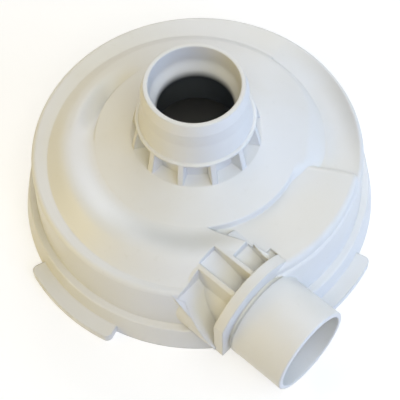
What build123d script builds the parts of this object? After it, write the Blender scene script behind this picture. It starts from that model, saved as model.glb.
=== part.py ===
"""Volute pump casing: one white moulding, inlet up, resting on the rim of its motor side."""
import os
from math import cos, hypot, radians, sin

from build123d import *

os.makedirs("parts", exist_ok=True)

# Driving dimensions in millimetres
wall = 3.0
overrun = 2.0

# Drum and base band
drum_radius = 77.5
drum_foot_radius = 78.4
ledge_height = 39.8
ledge_round = 2.5
base_radius = 84.5
base_draft = 2.5
base_height = 13.0
base_round = 0.8
base_wall = 5.5
register_depth = 9.5

# Bayonet lugs on the base band
lug_reach = 6.5
lug_height = 4.6
lug_round = 3.0
lug_span_angle = 34.0
lug_first_angle = -136.0
lug_count = 4

# Hub cone round the inlet
hub_edge_radius = 47.5
hub_edge_height = 47.4
hub_skirt = 1.2
hub_edge_round = 0.8
hub_foot_radius = 30.0
hub_foot_height = 53.1

# Inlet spigot
inlet_radius = 24.0
inlet_bore_radius = 20.4
inlet_height = 89.5
inlet_mouth_radius = 22.5
inlet_bevel_height = 5.5
inlet_straight_height = 8.0
inlet_foot_radius = 25.8
throat_radius = 17.3
throat_height_share = 0.547
throat_lip = 2.0
throat_recess_radius = 20.5

# Ribbed collar at the foot of the inlet
collar_radius = 27.4
collar_height_share = 0.355
collar_lip = 1.2
collar_slope = 0.7
collar_rib = 2.8
collar_foot_radius = 30.2
collar_rib_count = 12
collar_first_angle = -76.0

# Spiral roof over the flow channel
roof_start_angle = -44.0
roof_start_radius = 47.0
roof_first_angle = -20.0
roof_grown_angle = -8.0
roof_last_angle = 272.0
roof_end_angle = 296.0
roof_first_radius = 58.2
roof_last_radius = 74.2
roof_inner_radius = 43.0
roof_sink = 0.4
roof_section_count = 35
channel_first_angle = 8.0
channel_last_angle = 261.0
channel_section_count = 23
channel_inner_radius = 52.0
roof_point_count = 17
roof_lift = 5.2
roof_lift_run = 14.0
roof_lift_first_angle = 110.0
roof_lift_angle_span = 100.0
roof_valley = 7.6
roof_valley_radius = 48.4
roof_valley_width = 10.0
roof_valley_angle = 151.0
roof_valley_half_angle = 30.0
roof_growth_share = 0.85
roof_point_share = 0.8

# Width of the roof's rounded flank, by azimuth
flank_angles = (-44.0, -20.0, 0.0, 12.0, 22.0, 40.0, 100.0, 160.0, 210.0, 272.0)
flank_widths = (3.0, 7.6, 9.8, 7.6, 5.2, 4.6, 5.0, 7.5, 9.5, 12.0)

# Outlet duct, a pipe that leaves in the base plane's direction
outlet_angle = -44.6
outlet_offset = 37.4
outlet_axis_height = 22.0
outlet_radius = 21.1
outlet_bore_radius = 18.8
outlet_length = 101.5
outlet_bevel = 0.5
groove_radius = 19.9
groove_width = 2.0
root_radius = 21.3
root_end = 80.9
hose_room = 2.5
neck_radius = 16.8
neck_bore_radius = 14.3
neck_start = 43.5
bore_start = 5.0

# Stop ring behind the outlet spigot
ring_radius = 28.2
ring_back = 66.2
ring_thickness = 5.2
ring_flat_offset = 24.4

# Crown and ribs that join the roof to the ring
crown_radius = 26.3
crown_start = 44.0
rib_thickness = 2.2
rib_spacing = 12.0
rib_shift = 1.5
pocket_starts = (46.0, 44.5, 53.5, 62.0)
pocket_floors = (36.8, 45.0, 44.0, 42.5)
pocket_ends = (11.5, 35.0, 36.0, 42.0)
notch_width = 3.0

# Sloping web below the duct
web_thickness = 2.4
web_width = 9.0
web_start_offset = 26.4
web_top_height = 38.0
web_foot_height = 14.2

# Flat pad over the channel's tongue
pad_height = 44.2
pad_radius = 76.2
pad_inner_radius = 40.0
pad_first_angle = -92.0
pad_last_angle = -15.0
pad_round = 3.0
pad_end_round = 4.2
ridge_start = 30.0
ridge_start_side = 3.9
ridge_end_side = 15.6

# Shallow hollow in the ledge past the pad
hollow_depth = 2.3
hollow_inner_radius = 60.5
hollow_outer_radius = 75.6
hollow_first_angle = -17.0
hollow_last_angle = 52.0
hollow_section_count = 9
hollow_end_share = 0.03

# Places that follow from the sizes above
base_top_radius = base_radius - base_draft
register_radius = base_radius - base_wall
lug_radius = base_radius + lug_reach
collar_height = hub_foot_height + (inlet_height - hub_foot_height) * collar_height_share
throat_height = hub_foot_height + (inlet_height - hub_foot_height) * throat_height_share
inlet_wall_radius = throat_recess_radius + wall

hub_slope_share = (hub_foot_height - hub_edge_height) / (hub_edge_radius - hub_foot_radius)


def polar(radius, angle):
    """The plan point at a radius and an azimuth."""
    return (radius * cos(radians(angle)), radius * sin(radians(angle)))


def radial_plane(angle):
    """An upright plane through the axis, x outward along the azimuth and y up."""
    along = polar(1, angle)
    return Plane(origin=(0, 0, 0), x_dir=(along[0], along[1], 0), z_dir=(along[1], -along[0], 0))


def interpolate(angle, angles, values):
    """The value at an angle, straight between the entries of a table."""
    for i in range(len(angles) - 1):
        if angle <= angles[i + 1]:
            share = (angle - angles[i]) / (angles[i + 1] - angles[i])
            return values[i] + (values[i + 1] - values[i]) * smooth(share)
    return values[-1]


def smooth(share):
    """Rises smoothly from 0 to 1 as the share does."""
    share = min(max(share, 0), 1)
    return share * share * (3 - 2 * share)


def roof_radius(angle):
    """The outer radius of the spiral roof, which grows round the casing."""
    share = (angle - roof_first_angle) / (roof_last_angle - roof_first_angle)
    grown = roof_first_radius + (roof_last_radius - roof_first_radius) * max(share, 0)**roof_growth_share
    start_share = smooth((angle - roof_start_angle) / (roof_grown_angle - roof_start_angle))
    return roof_start_radius + (grown - roof_start_radius) * start_share


def roof_height(radius, angle):
    """The height of the roof's outside at a radius and an azimuth."""
    cone = hub_edge_height + (hub_edge_radius - radius) * hub_slope_share
    lift_share = smooth((angle - roof_lift_first_angle) / roof_lift_angle_span)
    lift = roof_lift * lift_share * smooth((radius - hub_edge_radius) / roof_lift_run)
    valley_share = smooth(1 - abs(angle - roof_valley_angle) / roof_valley_half_angle)
    valley = roof_valley * valley_share * (1 - smooth((radius - roof_valley_radius) / roof_valley_width))
    top = cone + lift - valley
    reach = (roof_radius(angle) - radius) / interpolate(angle, flank_angles, flank_widths)
    return ledge_height + (top - ledge_height) * sin(radians(90 * min(max(reach, 0), 1)))


def roof_section(angle, inner, inset, floor):
    """A closed section of the roof, inset by the wall for the channel under it."""
    outer = roof_radius(angle) - inset
    points = []
    for i in range(roof_point_count):
        share = i / (roof_point_count - 1)
        radius = inner + (outer - inner) * share**roof_point_share
        sink = roof_sink * smooth((hub_edge_radius - radius) / (hub_edge_radius - roof_inner_radius))
        points.append((radius, roof_height(radius + inset * share, angle) - inset - sink))
    with BuildSketch(radial_plane(angle)) as section:
        with BuildLine():
            Spline(*points)
            Polyline(points[-1], (outer, floor), (inner, floor), points[0])
        make_face()
    return section.sketch


def roof_angle(i):
    return roof_start_angle + (roof_end_angle - roof_start_angle) * i / (roof_section_count - 1)


# The outlet's own frame: x across towards the inlet's axis, y up, z along the duct
outlet_direction = polar(1, outlet_angle)
outlet_side = polar(1, outlet_angle + 90)


def outlet_point(along, side):
    """The plan point at a distance along the duct and a distance across it."""
    across = side - outlet_offset
    return (
        outlet_direction[0] * along + outlet_side[0] * across,
        outlet_direction[1] * along + outlet_side[1] * across,
    )


def outlet_plane(along):
    """The plane square to the duct at a distance along it."""
    return Plane(
        origin=(*outlet_point(along, 0), outlet_axis_height),
        x_dir=(outlet_side[0], outlet_side[1], 0),
        z_dir=(outlet_direction[0], outlet_direction[1], 0),
    )


def side_plane(side):
    """The upright plane along the duct at a distance across it, x along the duct and y up from the foot."""
    return Plane(
        origin=(*outlet_point(0, side), 0),
        x_dir=(outlet_direction[0], outlet_direction[1], 0),
        z_dir=(-outlet_side[0], -outlet_side[1], 0),
    )


def sector(inner, outer, first_angle, last_angle):
    """A closed outline between two radii and two azimuths."""
    middle = (first_angle + last_angle) / 2
    ThreePointArc(polar(outer, first_angle), polar(outer, middle), polar(outer, last_angle))
    Line(polar(outer, last_angle), polar(inner, last_angle))
    ThreePointArc(polar(inner, last_angle), polar(inner, middle), polar(inner, first_angle))
    Line(polar(inner, first_angle), polar(outer, first_angle))


# The turned outside: base band, drum, hub cone, collar and inlet spigot
with BuildPart() as turned:
    with BuildSketch(Plane.XZ):
        with BuildLine():
            Polyline(
                (0, 0),
                (base_radius, 0),
                (base_top_radius, base_height),
                (drum_foot_radius, base_height),
                (drum_radius, ledge_height),
                (hub_edge_radius + hub_skirt, ledge_height),
                (hub_edge_radius, hub_edge_height),
                (hub_foot_radius, hub_foot_height),
                (inlet_wall_radius, hub_foot_height),
                (inlet_wall_radius, collar_height),
                (inlet_foot_radius, collar_height),
                (inlet_radius, inlet_height - inlet_bevel_height - inlet_straight_height),
                (inlet_radius, inlet_height - inlet_bevel_height),
                (inlet_mouth_radius, inlet_height),
                (0, inlet_height),
                (0, 0),
            )
        make_face()
    revolve(axis=Axis.Z)
    rims = turned.edges().filter_by(GeomType.CIRCLE)
    fillet(rims.filter_by(lambda e: abs(e.radius - drum_radius) < wall / 100), ledge_round)
    rims = turned.edges().filter_by(GeomType.CIRCLE)
    fillet(rims.filter_by(lambda e: abs(e.radius - base_top_radius) < wall / 100), base_round)
    rims = turned.edges().filter_by(GeomType.CIRCLE)
    fillet(rims.filter_by(lambda e: abs(e.radius - hub_edge_radius) < wall / 100), hub_edge_round)

# The lip and the ribs of the collar
with BuildPart() as collar:
    with BuildSketch(Plane.XZ):
        with BuildLine():
            Polyline(
                (inlet_wall_radius - wall, collar_height - collar_lip),
                (collar_radius, collar_height - collar_lip),
                (collar_radius, collar_height - collar_slope / 2),
                (collar_radius - collar_slope, collar_height),
                (inlet_wall_radius - wall, collar_height),
                (inlet_wall_radius - wall, collar_height - collar_lip),
            )
        make_face()
    revolve(axis=Axis.Z)
    for i in range(collar_rib_count):
        with BuildSketch(radial_plane(collar_first_angle + i * 360 / collar_rib_count)):
            with BuildLine():
                Polyline(
                    (inlet_wall_radius - wall / 2, collar_height - collar_lip / 2),
                    (inlet_wall_radius - wall / 2, hub_foot_height - wall),
                    (collar_foot_radius, hub_foot_height - wall / 2),
                    (collar_foot_radius - collar_slope, hub_foot_height + wall),
                    (collar_radius, collar_height - collar_lip / 2),
                    (inlet_wall_radius - wall / 2, collar_height - collar_lip / 2),
                )
            make_face()
        extrude(amount=collar_rib / 2, both=True)

# The spiral roof, lofted through sections round the axis, its end cut along the ridge by the pad
with BuildPart() as roof:
    for i in range(roof_section_count):
        add(roof_section(roof_angle(i), roof_inner_radius, 0, ledge_height / 2))
    loft()
    with BuildSketch(Plane.XY.offset(pad_height - wall)):
        with BuildLine():
            Polyline(
                outlet_point(ridge_start, ridge_start_side),
                outlet_point(ring_back, ridge_end_side),
                outlet_point(ring_back, outlet_offset),
                outlet_point(ridge_start, outlet_offset),
                outlet_point(ridge_start, ridge_start_side),
            )
        make_face()
    extrude(amount=inlet_height, mode=Mode.SUBTRACT)

# The flat pad
with BuildPart() as pad:
    with BuildSketch(Plane.XY.offset(base_height)):
        with BuildLine():
            sector(pad_inner_radius, pad_radius, pad_first_angle, pad_last_angle)
        make_face()
    extrude(amount=pad_height - base_height)
    top_rim = pad.edges().filter_by(GeomType.CIRCLE).group_by(Axis.Z)[-1].sort_by(SortBy.RADIUS)[-1]
    fillet(top_rim, pad_round)
    top_end = pad.edges().filter_by(GeomType.LINE).group_by(Axis.Z)[-1].sort_by(Axis.Y)[-1]
    fillet(top_end, pad_end_round)

# The duct: a narrower neck, a groove in front of the stop ring, a tapered root, then the outlet spigot
with BuildPart() as duct:
    with BuildSketch(outlet_plane(neck_start)):
        Circle(neck_radius)
    extrude(amount=ring_back + ring_thickness - neck_start)
    with BuildSketch(outlet_plane(ring_back + ring_thickness / 2)):
        Circle(groove_radius)
    extrude(amount=ring_thickness / 2 + groove_width)
    with BuildSketch(outlet_plane(ring_back + ring_thickness + groove_width)):
        Circle(root_radius)
    with BuildSketch(outlet_plane(root_end)):
        Circle(outlet_radius)
    loft()
    with BuildSketch(outlet_plane(root_end)):
        Circle(outlet_radius)
    extrude(amount=outlet_length - root_end)
    mouth = duct.edges().filter_by(GeomType.CIRCLE).sort_by(Axis(outlet_plane(0).origin, outlet_plane(0).z_dir))[-1]
    chamfer(mouth, outlet_bevel)

# The stop ring, cut flat at its outer side and at its foot
with BuildPart() as ring:
    with BuildSketch(outlet_plane(ring_back)):
        Circle(ring_radius)
        with Locations((-ring_flat_offset, base_height - outlet_axis_height)):
            Rectangle(2 * ring_radius, 2 * ring_radius, align=(Align.MIN, Align.MIN), mode=Mode.INTERSECT)
    extrude(amount=ring_thickness)

# The crown over the duct's start
with BuildPart() as crown:
    with BuildSketch(outlet_plane(crown_start)):
        Circle(crown_radius)
        with Locations((0, -crown_radius / 4)):
            Rectangle(2 * crown_radius, crown_radius, align=(Align.CENTER, Align.MAX), mode=Mode.SUBTRACT)
    extrude(amount=ring_back + ring_thickness / 2 - crown_start)

# The pockets that leave three ribs standing between the roof and the ring, their floors falling to it
rib_sides = (rib_shift - rib_spacing, rib_shift, rib_shift + rib_spacing)
pocket_sides = (
    rib_sides[0] - rib_thickness / 2 - crown_radius,
    (rib_sides[0] + rib_sides[1]) / 2,
    (rib_sides[1] + rib_sides[2]) / 2,
    rib_sides[2] + (rib_thickness + notch_width) / 2,
)
pocket_widths = (2 * crown_radius, rib_spacing - rib_thickness, rib_spacing - rib_thickness, notch_width)
with BuildPart() as pockets:
    for i in range(len(pocket_sides)):
        with BuildSketch(side_plane(pocket_sides[i])):
            with BuildLine():
                Polyline(
                    (pocket_starts[i], inlet_height),
                    (pocket_starts[i], pocket_floors[i]),
                    (ring_back + ring_thickness, pocket_ends[i]),
                    (ring_back + ring_thickness, inlet_height),
                    (pocket_starts[i], inlet_height),
                )
            make_face()
        extrude(amount=pocket_widths[i] / 2, both=True)

# The walls kept inside the drum round the lowest pocket
with BuildPart() as corner:
    with BuildSketch(side_plane(rib_sides[0] + rib_thickness / 2)):
        with BuildLine():
            Polyline(
                (pocket_starts[0] - wall, inlet_height),
                (pocket_starts[0] - wall, pocket_floors[0] - wall),
                (ring_back + ring_thickness, pocket_ends[0] - wall),
                (ring_back + ring_thickness, inlet_height),
                (pocket_starts[0] - wall, inlet_height),
            )
        make_face()
    extrude(amount=2 * crown_radius)

# The sloping web at the duct's outer side
with BuildPart() as web:
    with BuildSketch(outlet_plane(neck_start)):
        with Locations((-web_start_offset + web_width / 2, web_top_height - outlet_axis_height)):
            Rectangle(web_width, web_thickness)
    with BuildSketch(outlet_plane(ring_back)):
        with Locations((-ring_flat_offset + web_width / 2, web_foot_height - outlet_axis_height)):
            Rectangle(web_width, web_thickness)
    loft()

# Four thin lugs round the foot, cut back where a hose passes over the outlet spigot
with BuildPart() as lugs:
    for i in range(lug_count):
        middle = lug_first_angle + i * 360 / lug_count
        with BuildSketch():
            with BuildLine():
                sector(register_radius + wall, lug_radius, middle - lug_span_angle / 2, middle + lug_span_angle / 2)
            make_face()
        extrude(amount=lug_height)
    tips = lugs.edges().filter_by(Axis.Z).filter_by(lambda e: hypot(e.center().X, e.center().Y) > base_radius)
    fillet(tips, lug_round)
    with BuildSketch(outlet_plane(ring_back)):
        Circle(outlet_radius + hose_room)
    extrude(amount=outlet_length, mode=Mode.SUBTRACT)

# The turned hollow: motor side, hub, throat and inlet bore
with BuildPart() as hollow:
    with BuildSketch(Plane.XZ):
        with BuildLine():
            Polyline(
                (0, -overrun),
                (register_radius, -overrun),
                (register_radius, register_depth),
                (drum_radius - wall, register_depth),
                (drum_radius - wall, ledge_height - wall),
                (hub_edge_radius, ledge_height - wall),
                (hub_edge_radius - wall, hub_edge_height - wall),
                (throat_recess_radius, hub_foot_height - wall),
                (throat_recess_radius, throat_height - throat_lip),
                (throat_radius, throat_height - throat_lip),
                (throat_radius, throat_height),
            )
            Spline(
                (throat_radius, throat_height),
                (inlet_bore_radius, (throat_height + inlet_height) / 2),
                tangents=((0, 1), (0, 1)),
            )
            Polyline(
                (inlet_bore_radius, (throat_height + inlet_height) / 2),
                (inlet_bore_radius, inlet_height + overrun),
                (0, inlet_height + overrun),
                (0, -overrun),
            )
        make_face()
    revolve(axis=Axis.Z)
    add(corner.part, mode=Mode.SUBTRACT)

# The channel under the spiral roof
with BuildPart() as channel:
    for i in range(channel_section_count):
        angle = channel_first_angle + (channel_last_angle - channel_first_angle) * i / (channel_section_count - 1)
        add(roof_section(angle, channel_inner_radius, wall, ledge_height / 2))
    loft()

# The bore of the duct, wider in the spigot than in its neck
with BuildPart() as bore:
    with BuildSketch(outlet_plane(bore_start)):
        Circle(neck_bore_radius)
    extrude(amount=ring_back - bore_start)
    with BuildSketch(outlet_plane(ring_back)):
        Circle(neck_bore_radius)
    with BuildSketch(outlet_plane(ring_back + ring_thickness)):
        Circle(outlet_bore_radius)
    loft()
    with BuildSketch(outlet_plane(ring_back + ring_thickness)):
        Circle(outlet_bore_radius)
    extrude(amount=outlet_length + overrun - ring_back - ring_thickness)

# The shallow hollow in the ledge, deepest half way along
with BuildPart() as dish:
    for i in range(hollow_section_count):
        share = i / (hollow_section_count - 1)
        depth = hollow_depth * (hollow_end_share + (1 - hollow_end_share) * sin(radians(180 * share)))
        with BuildSketch(radial_plane(hollow_first_angle + (hollow_last_angle - hollow_first_angle) * share)):
            with BuildLine():
                ThreePointArc(
                    (hollow_inner_radius, ledge_height),
                    ((hollow_inner_radius + hollow_outer_radius) / 2, ledge_height - depth),
                    (hollow_outer_radius, ledge_height),
                )
                Polyline(
                    (hollow_outer_radius, ledge_height),
                    (hollow_outer_radius, ledge_height + overrun),
                    (hollow_inner_radius, ledge_height + overrun),
                    (hollow_inner_radius, ledge_height),
                )
            make_face()
    loft()

# Roof, pad and crown joined to the drum, then the pockets cut, then the rest, then the hollows
with BuildPart() as pump_casing:
    add(turned.part)
    add(roof.part)
    add(pad.part)
    add(crown.part)
    add(pockets.part, mode=Mode.SUBTRACT)
    add(collar.part)
    add(duct.part)
    add(ring.part)
    add(web.part)
    add(lugs.part)
    add(hollow.part, mode=Mode.SUBTRACT)
    add(channel.part, mode=Mode.SUBTRACT)
    add(bore.part, mode=Mode.SUBTRACT)
    add(dish.part, mode=Mode.SUBTRACT)

pump_casing.part.label = "pump_casing"
export_step(pump_casing.part, "parts/pump_casing.step")
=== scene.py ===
"""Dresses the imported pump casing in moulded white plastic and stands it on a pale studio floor."""

from math import cos, sin

import bpy
from mathutils import Matrix, Vector

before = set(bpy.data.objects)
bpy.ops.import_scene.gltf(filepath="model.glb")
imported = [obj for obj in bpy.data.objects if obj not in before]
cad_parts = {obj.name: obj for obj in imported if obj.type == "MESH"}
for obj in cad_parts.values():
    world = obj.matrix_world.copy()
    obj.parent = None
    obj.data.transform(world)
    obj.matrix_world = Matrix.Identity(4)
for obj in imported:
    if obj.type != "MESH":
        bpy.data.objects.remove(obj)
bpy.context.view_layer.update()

bl_info = {
    "name": "Pump casing dressing",
    "version": (1, 0, 0),
    "blender": (4, 5, 0),
    "location": "3D View > Sidebar > Casing",
    "description": "Gives a moulded pump casing its plastic finish and its studio stage",
    "category": "Object",
}


# Spaces inside the casing that get a near black painted shade: radius from the axis, height of the top and
# depth of its fade, in metres
PAINTED_SHADE_BELOW_THROAT = {"Radius": 0.0206, "Height": 0.0756, "Blur": 0.0044}
PAINTED_SHADE_UNDER_HUB = {"Radius": 0.0440, "Height": 0.0445, "Blur": 0.0006}

# How strongly the moulding compound bends light
PLASTIC_IOR = 1.5

# How many rays look for a corner that the shading rounds
CORNER_SAMPLES = 6

# What the lamps face, in metres
CASING_MIDDLE = (0.0, 0.0, 0.03)

# Each lamp's name, place and width in metres, power in watts and colour
STUDIO_LAMPS = (
    ("warm_left", (-0.75, -0.15, 0.30), 0.45, 2.55, (1.00, 0.77, 0.27)),
    ("cool_right", (0.75, -0.10, 0.30), 0.45, 2.10, (0.61, 0.80, 1.00)),
    ("cool_front", (0.50, -0.60, 0.40), 0.45, 2.52, (0.33, 0.48, 1.00)),
    ("back", (0.10, 0.75, 0.55), 0.50, 2.95, (1.00, 0.97, 0.96)),
    ("above", (0.30, 0.05, 0.95), 0.60, 1.80, (0.90, 0.95, 1.00)),
    ("front", (0.10, -0.55, 0.85), 0.60, 4.40, (0.99, 0.97, 0.84)),
)

# Width of the camera's frame in millimetres
FRAME_WIDTH = 36.0

# Distance in metres from which the camera sees
NEAREST_SEEN = 0.01

WHITE = (1.0, 1.0, 1.0, 1.0)


class CasingFinish(bpy.types.PropertyGroup):
    """The look of the moulded plastic."""

    plastic_colour: bpy.props.FloatVectorProperty(
        name="Plastic colour",
        description="Main colour of the white moulding compound",
        subtype="COLOR",
        size=3,
        min=0.0,
        max=1.0,
        default=(0.74, 0.74, 0.725),
    )
    aged_colour: bpy.props.FloatVectorProperty(
        name="Aged colour",
        description="Colour the compound drifts to in broad, faint clouds",
        subtype="COLOR",
        size=3,
        min=0.0,
        max=1.0,
        default=(0.72, 0.71, 0.67),
    )
    cloud_size: bpy.props.FloatProperty(
        name="Cloud size",
        description="Width of the broad colour clouds",
        subtype="DISTANCE",
        unit="LENGTH",
        min=0.001,
        default=0.045,
    )
    dust_colour: bpy.props.FloatVectorProperty(
        name="Dust colour",
        description="Colour of the specks of dust",
        subtype="COLOR",
        size=3,
        min=0.0,
        max=1.0,
        default=(0.50, 0.47, 0.40),
    )
    dust_amount: bpy.props.FloatProperty(
        name="Dust amount",
        description="How much of a speck's colour is dust",
        subtype="FACTOR",
        min=0.0,
        max=1.0,
        default=0.10,
    )
    speck_size: bpy.props.FloatProperty(
        name="Speck size",
        description="Width of a speck of dust",
        subtype="DISTANCE",
        unit="LENGTH",
        min=0.0001,
        default=0.0035,
    )
    # Painted shade: a near black colour for the walls below the throat and inside under the hub, where
    # little light reaches.
    inside_painted_shade: bpy.props.FloatVectorProperty(
        name="Inside painted shade",
        description="Near black painted shade on the walls below the throat",
        subtype="COLOR",
        size=3,
        min=0.0,
        max=1.0,
        default=(0.060, 0.068, 0.076),
    )
    roughness: bpy.props.FloatProperty(
        name="Roughness",
        description="Mean roughness of the moulded surface",
        subtype="FACTOR",
        min=0.0,
        max=1.0,
        default=0.42,
    )
    roughness_drift: bpy.props.FloatProperty(
        name="Roughness drift",
        description="How much the roughness changes between rubbed and untouched places",
        subtype="FACTOR",
        min=0.0,
        max=0.5,
        default=0.10,
    )
    patch_size: bpy.props.FloatProperty(
        name="Patch size",
        description="Width of a rubbed patch",
        subtype="DISTANCE",
        unit="LENGTH",
        min=0.001,
        default=0.018,
    )
    grain_size: bpy.props.FloatProperty(
        name="Grain size",
        description="Width of one grain of the fine spark-eroded texture",
        subtype="DISTANCE",
        unit="LENGTH",
        min=0.0001,
        default=0.0007,
    )
    grain_height: bpy.props.FloatProperty(
        name="Grain height",
        description="Height of the fine texture",
        subtype="DISTANCE",
        unit="LENGTH",
        min=0.0,
        default=0.000012,
    )
    sink_size: bpy.props.FloatProperty(
        name="Sink mark size",
        description="Width of the broad, shallow waves that cooling leaves in the walls",
        subtype="DISTANCE",
        unit="LENGTH",
        min=0.001,
        default=0.022,
    )
    sink_height: bpy.props.FloatProperty(
        name="Sink mark height",
        description="Depth of those waves",
        subtype="DISTANCE",
        unit="LENGTH",
        min=0.0,
        default=0.00012,
    )
    corner_softness: bpy.props.FloatProperty(
        name="Corner softness",
        description="Radius by which the shading rounds the moulding's corners",
        subtype="DISTANCE",
        unit="LENGTH",
        min=0.0,
        default=0.0011,
    )


class StudioStage(bpy.types.PropertyGroup):
    """The floor, the lamps and the camera."""

    floor_span: bpy.props.FloatProperty(
        name="Floor span",
        description="Side of the square floor",
        subtype="DISTANCE",
        unit="LENGTH",
        min=1.0,
        default=8.0,
    )
    floor_colour: bpy.props.FloatVectorProperty(
        name="Floor colour",
        description="Colour of the floor, as the light on the casing meets it",
        subtype="COLOR",
        size=3,
        min=0.0,
        max=1.0,
        default=(0.82, 0.82, 0.82),
    )
    floor_roughness: bpy.props.FloatProperty(
        name="Floor roughness",
        description="Roughness of the matt floor",
        subtype="FACTOR",
        min=0.0,
        max=1.0,
        default=0.9,
    )
    floor_white: bpy.props.FloatProperty(
        name="Floor white",
        description="Share of even white in the floor as the picture shows it",
        subtype="FACTOR",
        min=0.0,
        max=1.0,
        default=0.58,
    )
    floor_shade: bpy.props.FloatProperty(
        name="Floor shade",
        description="Share of the floor's tone that the picture takes from the light and the shadow",
        subtype="FACTOR",
        min=0.0,
        max=1.0,
        default=0.50,
    )
    covered_radius: bpy.props.FloatProperty(
        name="Covered radius",
        description="Radius of the floor that the casing covers, which gets no even white",
        subtype="DISTANCE",
        unit="LENGTH",
        min=0.0,
        default=0.079,
    )
    # Painted shade: a darker tone for the floor under the casing, seen through the throat.
    covered_painted_shade: bpy.props.FloatProperty(
        name="Covered painted shade",
        description="Painted shade on the floor that the casing covers, as the picture shows it through the throat",
        subtype="FACTOR",
        min=0.0,
        max=1.0,
        default=0.30,
    )
    air_strength: bpy.props.FloatProperty(
        name="Surrounding light",
        description="Strength of the even light from all round",
        min=0.0,
        default=0.03,
    )
    light_level: bpy.props.FloatProperty(
        name="Light level",
        description="Factor on the power of every lamp",
        min=0.0,
        default=0.98,
    )
    view_lift: bpy.props.FloatProperty(
        name="View lift",
        description="Angle of the camera above the floor",
        subtype="ANGLE",
        unit="ROTATION",
        default=1.036,
    )
    view_roll: bpy.props.FloatProperty(
        name="View roll",
        description="Turn of the camera about its own line of sight",
        subtype="ANGLE",
        unit="ROTATION",
        default=0.043,
    )
    view_distance: bpy.props.FloatProperty(
        name="View distance",
        description="Distance of the camera from the middle of the casing's foot",
        subtype="DISTANCE",
        unit="LENGTH",
        min=0.1,
        default=0.62,
    )
    view_right: bpy.props.FloatProperty(
        name="View to the right",
        description="How far right of the middle of the casing's foot the camera looks",
        subtype="DISTANCE",
        unit="LENGTH",
        default=0.000465,
    )
    view_down: bpy.props.FloatProperty(
        name="View down",
        description="How far below the middle of the casing's foot, in the picture, the camera looks",
        subtype="DISTANCE",
        unit="LENGTH",
        default=0.004495,
    )
    lens_length: bpy.props.FloatProperty(
        name="Lens length",
        description="Focal length of the camera",
        subtype="DISTANCE_CAMERA",
        unit="CAMERA",
        min=1.0,
        default=113.21,
    )


def feed(tree, socket, value):
    """Gives a socket its value: a number, a colour or the output of another node."""
    if isinstance(value, bpy.types.NodeSocket):
        tree.links.new(value, socket)
    else:
        socket.default_value = value


def math_node(tree, operation, first, second=0.0):
    """The result of a Math node on numbers or sockets."""
    node = tree.nodes.new("ShaderNodeMath")
    node.operation = operation
    feed(tree, node.inputs[0], first)
    feed(tree, node.inputs[1], second)
    return node.outputs["Value"]


def mix_node(tree, factor, first, second):
    """A colour that goes from the first to the second as the factor goes from 0 to 1."""
    node = tree.nodes.new("ShaderNodeMix")
    node.data_type = "RGBA"
    feed(tree, node.inputs["Factor"], factor)
    feed(tree, node.inputs["A"], first)
    feed(tree, node.inputs["B"], second)
    return node.outputs["Result"]


def range_node(tree, value, low, high, easing="LINEAR"):
    """A value that goes from 0 to 1 as the given one goes from low to high."""
    node = tree.nodes.new("ShaderNodeMapRange")
    node.interpolation_type = easing
    feed(tree, node.inputs["Value"], value)
    node.inputs["From Min"].default_value = low
    node.inputs["From Max"].default_value = high
    return node.outputs["Result"]


def noise_node(tree, size, detail, offset):
    """Noise in the object's own space, with waves of the size that a socket gives in metres."""
    place = tree.nodes.new("ShaderNodeTexCoord")
    shift = tree.nodes.new("ShaderNodeMapping")
    noise = tree.nodes.new("ShaderNodeTexNoise")
    feed(tree, shift.inputs["Vector"], place.outputs["Object"])
    feed(tree, shift.inputs["Location"], offset)
    feed(tree, noise.inputs["Vector"], shift.outputs["Vector"])
    feed(tree, noise.inputs["Scale"], math_node(tree, "DIVIDE", 1.0, size))
    feed(tree, noise.inputs["Detail"], detail)
    return noise.outputs["Fac"]


def new_group(name, inputs, output, kind):
    """A shader node group with named inputs and one output: its tree, its inputs and its output."""
    group = bpy.data.node_groups.new(name, "ShaderNodeTree")
    for label, input_kind, value in inputs:
        socket = group.interface.new_socket(name=label, in_out="INPUT", socket_type=input_kind)
        socket.default_value = value
    group.interface.new_socket(name=output, in_out="OUTPUT", socket_type=kind)
    entry = group.nodes.new("NodeGroupInput")
    leave = group.nodes.new("NodeGroupOutput")
    return group, entry.outputs, leave.inputs[output]


def clouded_colour_group(name):
    """Broad, faint clouds between two colours."""
    group, given, result = new_group(
        name,
        (
            ("Main Colour", "NodeSocketColor", (0.8, 0.8, 0.8, 1.0)),
            ("Cloud Colour", "NodeSocketColor", (0.7, 0.7, 0.6, 1.0)),
            ("Cloud Size", "NodeSocketFloat", 0.05),
        ),
        "Colour",
        "NodeSocketColor",
    )
    waves = noise_node(group, given["Cloud Size"], detail=3.0, offset=(0.31, 0.12, 0.53))
    clouds = range_node(group, waves, low=0.38, high=0.72, easing="SMOOTHSTEP")
    feed(group, result, mix_node(group, clouds, given["Main Colour"], given["Cloud Colour"]))
    return group


def settled_dust_group(name):
    """A mask of the dust that gathers in specks."""
    group, given, result = new_group(
        name,
        (
            ("Speck Size", "NodeSocketFloat", 0.004),
            ("Amount", "NodeSocketFloat", 0.3),
        ),
        "Mask",
        "NodeSocketFloat",
    )
    waves = noise_node(group, given["Speck Size"], detail=5.0, offset=(0.7, 0.2, 0.9))
    specks = range_node(group, waves, low=0.62, high=0.80)
    feed(group, result, math_node(group, "MULTIPLY", specks, given["Amount"]))
    return group


def rubbed_sheen_group(name):
    """Roughness that drifts between rubbed and untouched places."""
    group, given, result = new_group(
        name,
        (
            ("Mean", "NodeSocketFloat", 0.35),
            ("Drift", "NodeSocketFloat", 0.1),
            ("Patch Size", "NodeSocketFloat", 0.02),
        ),
        "Roughness",
        "NodeSocketFloat",
    )
    patches = noise_node(group, given["Patch Size"], detail=4.0, offset=(0.9, 0.4, 0.1))
    centred = math_node(group, "SUBTRACT", patches, 0.5)
    half_swing = math_node(group, "MULTIPLY", centred, given["Drift"])
    swing = math_node(group, "MULTIPLY", half_swing, 2.0)
    feed(group, result, math_node(group, "ADD", swing, given["Mean"]))
    return group


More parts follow.
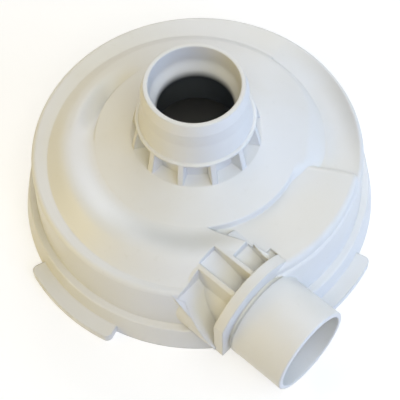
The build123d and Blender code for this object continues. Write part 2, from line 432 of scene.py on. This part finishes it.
def inside_shade_group(name):
    """A mask for painted shade on what lies inside a radius from the axis, which fades in below a height.
    """
    group, given, result = new_group(
        name,
        (
            ("Radius", "NodeSocketFloat", 0.02),
            ("Height", "NodeSocketFloat", 0.07),
            ("Blur", "NodeSocketFloat", 0.001),
        ),
        "Mask",
        "NodeSocketFloat",
    )
    place = group.nodes.new("ShaderNodeTexCoord")
    along = group.nodes.new("ShaderNodeSeparateXYZ")
    feed(group, along.inputs["Vector"], place.outputs["Object"])
    x, y, z = along.outputs
    square = math_node(
        group,
        "ADD",
        math_node(group, "MULTIPLY", x, x),
        math_node(group, "MULTIPLY", y, y),
    )
    within = math_node(group, "LESS_THAN", math_node(group, "SQRT", square), given["Radius"])
    depth = math_node(group, "SUBTRACT", given["Height"], z)
    fade = math_node(group, "DIVIDE", depth, given["Blur"])
    fade.node.use_clamp = True
    feed(group, result, math_node(group, "MULTIPLY", within, fade))
    return group


def mould_texture_group(name):
    """Height of the fine mould grain and of the broad sink marks together, in metres."""
    group, given, result = new_group(
        name,
        (
            ("Grain Size", "NodeSocketFloat", 0.0007),
            ("Grain Height", "NodeSocketFloat", 0.00001),
            ("Wave Size", "NodeSocketFloat", 0.02),
            ("Wave Height", "NodeSocketFloat", 0.0001),
        ),
        "Height",
        "NodeSocketFloat",
    )
    fine = noise_node(group, given["Grain Size"], detail=2.0, offset=(0.2, 0.6, 0.4))
    broad = noise_node(group, given["Wave Size"], detail=1.0, offset=(0.5, 0.8, 0.3))
    fine_height = math_node(group, "MULTIPLY", fine, given["Grain Height"])
    broad_height = math_node(group, "MULTIPLY", broad, given["Wave Height"])
    feed(group, result, math_node(group, "ADD", fine_height, broad_height))
    return group


EFFECTS = {
    "clouded_colour": clouded_colour_group,
    "settled_dust": settled_dust_group,
    "rubbed_sheen": rubbed_sheen_group,
    "inside_shade": inside_shade_group,
    "mould_texture": mould_texture_group,
}


def place_effect(tree, effect, values):
    """The output of an effect's group in a material. The group is built where it is first placed."""
    node = tree.nodes.new("ShaderNodeGroup")
    node.node_tree = bpy.data.node_groups.get(effect) or EFFECTS[effect](effect)
    for label, value in values.items():
        node.inputs[label].default_value = value
    return node.outputs[0]


def moulded_plastic(name, finish):
    """The casing's white plastic: clouds, specks, drifting sheen, mould grain and painted shade inside."""
    material = bpy.data.materials.new(name)
    material.use_nodes = True
    tree = material.node_tree
    shader = tree.nodes["Principled BSDF"]
    clouds = place_effect(
        tree,
        "clouded_colour",
        {
            "Main Colour": (*finish.plastic_colour, 1.0),
            "Cloud Colour": (*finish.aged_colour, 1.0),
            "Cloud Size": finish.cloud_size,
        },
    )
    specks = place_effect(
        tree,
        "settled_dust",
        {"Speck Size": finish.speck_size, "Amount": finish.dust_amount},
    )
    sheen = place_effect(
        tree,
        "rubbed_sheen",
        {"Mean": finish.roughness, "Drift": finish.roughness_drift, "Patch Size": finish.patch_size},
    )
    texture = place_effect(
        tree,
        "mould_texture",
        {
            "Grain Size": finish.grain_size,
            "Grain Height": finish.grain_height,
            "Wave Size": finish.sink_size,
            "Wave Height": finish.sink_height,
        },
    )
    # Painted shade: the walls below the throat and inside under the hub are mixed toward a near black
    # colour.
    below_throat = place_effect(tree, "inside_shade", PAINTED_SHADE_BELOW_THROAT)
    under_hub = place_effect(tree, "inside_shade", PAINTED_SHADE_UNDER_HUB)
    inside = math_node(tree, "MAXIMUM", below_throat, under_hub)
    dusty = mix_node(tree, specks, clouds, (*finish.dust_colour, 1.0))
    with_painted_shade = mix_node(tree, inside, dusty, (*finish.inside_painted_shade, 1.0))
    soft_corner = tree.nodes.new("ShaderNodeBevel")
    soft_corner.samples = CORNER_SAMPLES
    feed(tree, soft_corner.inputs["Radius"], finish.corner_softness)
    relief = tree.nodes.new("ShaderNodeBump")
    feed(tree, relief.inputs["Strength"], 1.0)
    feed(tree, relief.inputs["Distance"], 1.0)
    feed(tree, relief.inputs["Height"], texture)
    feed(tree, relief.inputs["Normal"], soft_corner.outputs["Normal"])
    feed(tree, shader.inputs["Base Color"], with_painted_shade)
    feed(tree, shader.inputs["Roughness"], sheen)
    feed(tree, shader.inputs["IOR"], PLASTIC_IOR)
    feed(tree, shader.inputs["Normal"], relief.outputs["Normal"])
    return material


def seen_directly(tree):
    """A mask that is 1 for the rays that draw the picture, also through a gloss or a clear piece."""
    path = tree.nodes.new("ShaderNodeLightPath")
    straight = math_node(tree, "MAXIMUM", path.outputs["Is Camera Ray"], path.outputs["Is Glossy Ray"])
    return math_node(tree, "MAXIMUM", straight, path.outputs["Is Transmission Ray"])


def stage_floor_material(stage):
    """A matt floor that the picture shows as white where no shadow falls, with painted shade where the
    casing covers it.
    """
    material = bpy.data.materials.new("studio_floor")
    material.use_nodes = True
    tree = material.node_tree
    shader = tree.nodes["Principled BSDF"]
    place = tree.nodes.new("ShaderNodeTexCoord")
    reach = tree.nodes.new("ShaderNodeVectorMath")
    reach.operation = "LENGTH"
    feed(tree, reach.inputs[0], place.outputs["Object"])
    seen = seen_directly(tree)
    uncovered = math_node(tree, "GREATER_THAN", reach.outputs["Value"], stage.covered_radius)
    white_place = math_node(tree, "MULTIPLY", seen, uncovered)
    even_white = math_node(tree, "MULTIPLY", white_place, stage.floor_white)
    shade = math_node(tree, "MULTIPLY", uncovered, stage.floor_shade)
    # Painted shade: the floor under the casing shows a darker fixed tone in place of the floor's usual
    # share.
    seen_tone_with_painted_shade = math_node(tree, "MAXIMUM", shade, stage.covered_painted_shade)
    tone = mix_node(tree, seen, (*stage.floor_colour, 1.0), seen_tone_with_painted_shade)
    feed(tree, shader.inputs["Base Color"], tone)
    feed(tree, shader.inputs["Roughness"], stage.floor_roughness)
    feed(tree, shader.inputs["Specular IOR Level"], 0.0)
    feed(tree, shader.inputs["Emission Color"], WHITE)
    feed(tree, shader.inputs["Emission Strength"], even_white)
    return material


def studio_air(strength):
    """The even light from all round, which the picture shows as white."""
    world = bpy.data.worlds.new("studio_air")
    world.use_nodes = True
    tree = world.node_tree
    air = tree.nodes["Background"]
    extra = math_node(tree, "MULTIPLY", seen_directly(tree), 1.0 - strength)
    feed(tree, air.inputs["Color"], WHITE)
    feed(tree, air.inputs["Strength"], math_node(tree, "ADD", extra, strength))
    return world


def soft_lamp(name, place, width, power, colour):
    """A square area lamp that faces the middle of the casing."""
    data = bpy.data.lights.new(name, "AREA")
    data.shape = "SQUARE"
    data.size = width
    data.energy = power
    data.color = colour
    lamp = bpy.data.objects.new(name, data)
    bpy.context.scene.collection.objects.link(lamp)
    lamp.location = place
    facing = Vector(CASING_MIDDLE) - Vector(place)
    lamp.rotation_euler = facing.to_track_quat("-Z", "Y").to_euler()


def photo_camera(stage):
    """The camera, placed by its lift, roll and distance and aimed at the casing."""
    ahead = Vector((0.0, cos(stage.view_lift), -sin(stage.view_lift)))
    upright = Vector((0.0, sin(stage.view_lift), cos(stage.view_lift)))
    level = Vector((1.0, 0.0, 0.0))
    right = cos(stage.view_roll) * level - sin(stage.view_roll) * upright
    up = sin(stage.view_roll) * level + cos(stage.view_roll) * upright
    place = -stage.view_distance * ahead + stage.view_right * right - stage.view_down * up
    data = bpy.data.cameras.new("studio_camera")
    data.lens = stage.lens_length
    data.sensor_width = FRAME_WIDTH
    data.clip_start = NEAREST_SEEN
    camera = bpy.data.objects.new("studio_camera", data)
    bpy.context.scene.collection.objects.link(camera)
    turn = Matrix((right, up, -ahead)).transposed().to_4x4()
    camera.matrix_world = Matrix.Translation(place) @ turn
    bpy.context.scene.camera = camera


class CASING_OT_dress_body(bpy.types.Operator):
    """Give the moulded casing its white plastic"""

    bl_idname = "casing.dress_body"
    bl_label = "Dress the casing"

    def execute(self, context):
        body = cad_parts["pump_casing"]
        plastic = moulded_plastic("casing_plastic", context.scene.casing_finish)
        body.data.materials.clear()
        body.data.materials.append(plastic)
        return {"FINISHED"}


class CASING_OT_set_stage(bpy.types.Operator):
    """Lay the floor, hang the lamps and place the camera"""

    bl_idname = "casing.set_stage"
    bl_label = "Set the stage"

    def execute(self, context):
        stage = context.scene.casing_stage
        half = stage.floor_span / 2
        corners = [(-half, -half, 0), (half, -half, 0), (half, half, 0), (-half, half, 0)]
        sheet = bpy.data.meshes.new("studio_floor")
        sheet.from_pydata(corners, [], [(0, 1, 2, 3)])
        floor = bpy.data.objects.new("studio_floor", sheet)
        context.scene.collection.objects.link(floor)
        sheet.materials.append(stage_floor_material(stage))
        context.scene.world = studio_air(stage.air_strength)
        for name, place, width, power, colour in STUDIO_LAMPS:
            soft_lamp(name, place, width, power * stage.light_level, colour)
        photo_camera(stage)
        context.scene.view_settings.view_transform = "Standard"
        return {"FINISHED"}


class CASING_PT_pieces(bpy.types.Panel):
    """Lists the casing's operators and values"""

    bl_idname = "CASING_PT_pieces"
    bl_label = "Pump casing"
    bl_space_type = "VIEW_3D"
    bl_region_type = "UI"
    bl_category = "Casing"

    def draw(self, context):
        column = self.layout.column()
        for values in (context.scene.casing_finish, context.scene.casing_stage):
            for name in values.bl_rna.properties.keys():
                if name not in ("rna_type", "name"):
                    column.prop(values, name)
        for piece in (CASING_OT_dress_body, CASING_OT_set_stage):
            column.operator(piece.bl_idname)


classes = (CasingFinish, StudioStage, CASING_OT_dress_body, CASING_OT_set_stage, CASING_PT_pieces)


def register():
    for piece in classes:
        bpy.utils.register_class(piece)
    bpy.types.Scene.casing_finish = bpy.props.PointerProperty(type=CasingFinish)
    bpy.types.Scene.casing_stage = bpy.props.PointerProperty(type=StudioStage)


def unregister():
    del bpy.types.Scene.casing_stage
    del bpy.types.Scene.casing_finish
    for piece in reversed(classes):
        bpy.utils.unregister_class(piece)


def main():
    register()
    bpy.ops.casing.dress_body()
    bpy.ops.casing.set_stage()


if __name__ == "__main__":
    main()
